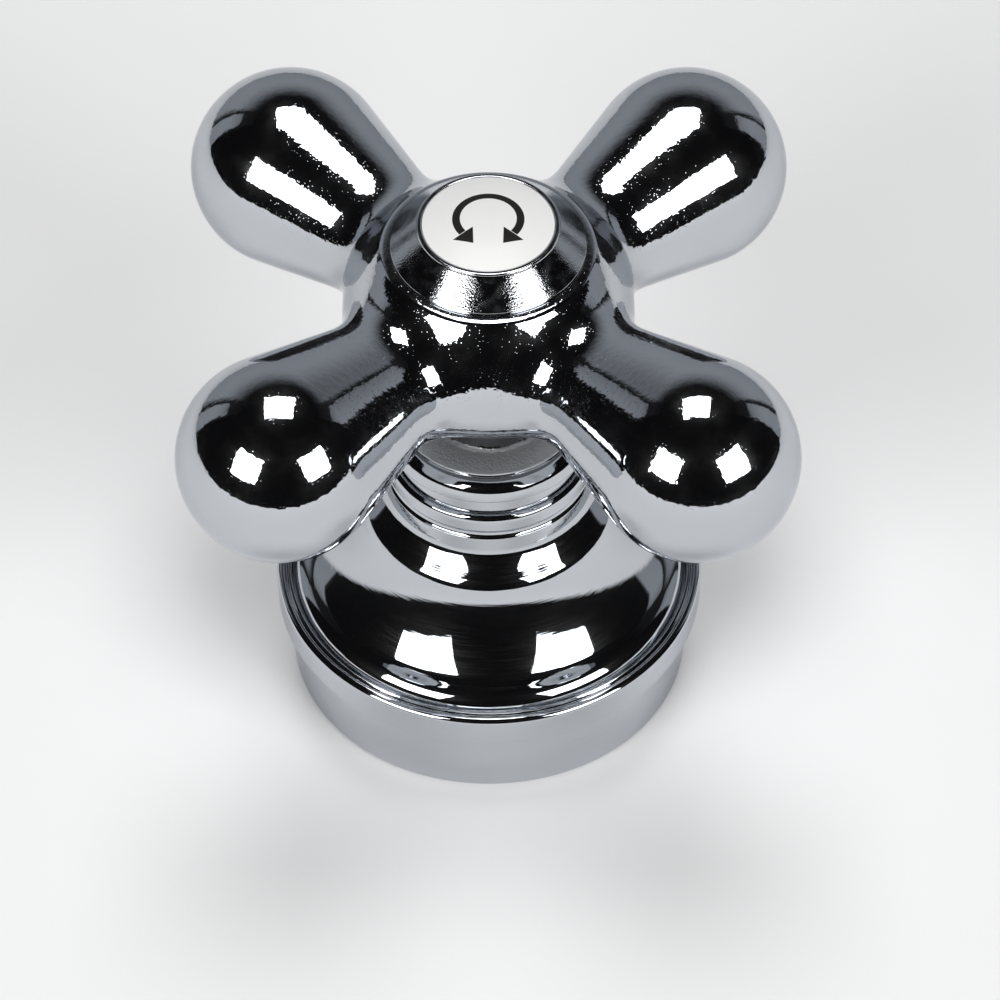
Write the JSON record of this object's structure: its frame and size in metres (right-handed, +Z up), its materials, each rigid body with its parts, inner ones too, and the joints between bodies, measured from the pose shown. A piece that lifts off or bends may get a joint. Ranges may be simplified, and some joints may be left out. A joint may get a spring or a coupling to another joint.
{
  "type": "tap handle",
  "caption": "Cross tap handle with club-shaped arms, a ringed neck and a bell skirt; slips over a splined valve stem and is held by a screw under a domed index button.",
  "frame": {"origin": "on the handle's axis, in the plane of the collar's lower edge, where the handle stands on a table", "axes": "+Z up along the valve stem towards the index button; the arms lie on the diagonals between X and Y"},
  "size_m": [0.0596, 0.0596, 0.0612],
  "materials": {
    "bright_chrome": "polished chromium plate on a zinc die-casting, with a little orange peel in the corners that a polishing wheel can't reach",
    "button_chrome": "bright chromium plate with fine turning marks on the cone",
    "white_disc": "glossy white domed disc with a black printed index mark",
    "screw_brass": "plain turned brass"
  },
  "bodies": {
    "root": {"handle_casting": "bright_chrome", "button_bezel": "button_chrome", "button_disc": "white_disc", "stem_screw": "screw_brass"}
  },
  "joints": []
}
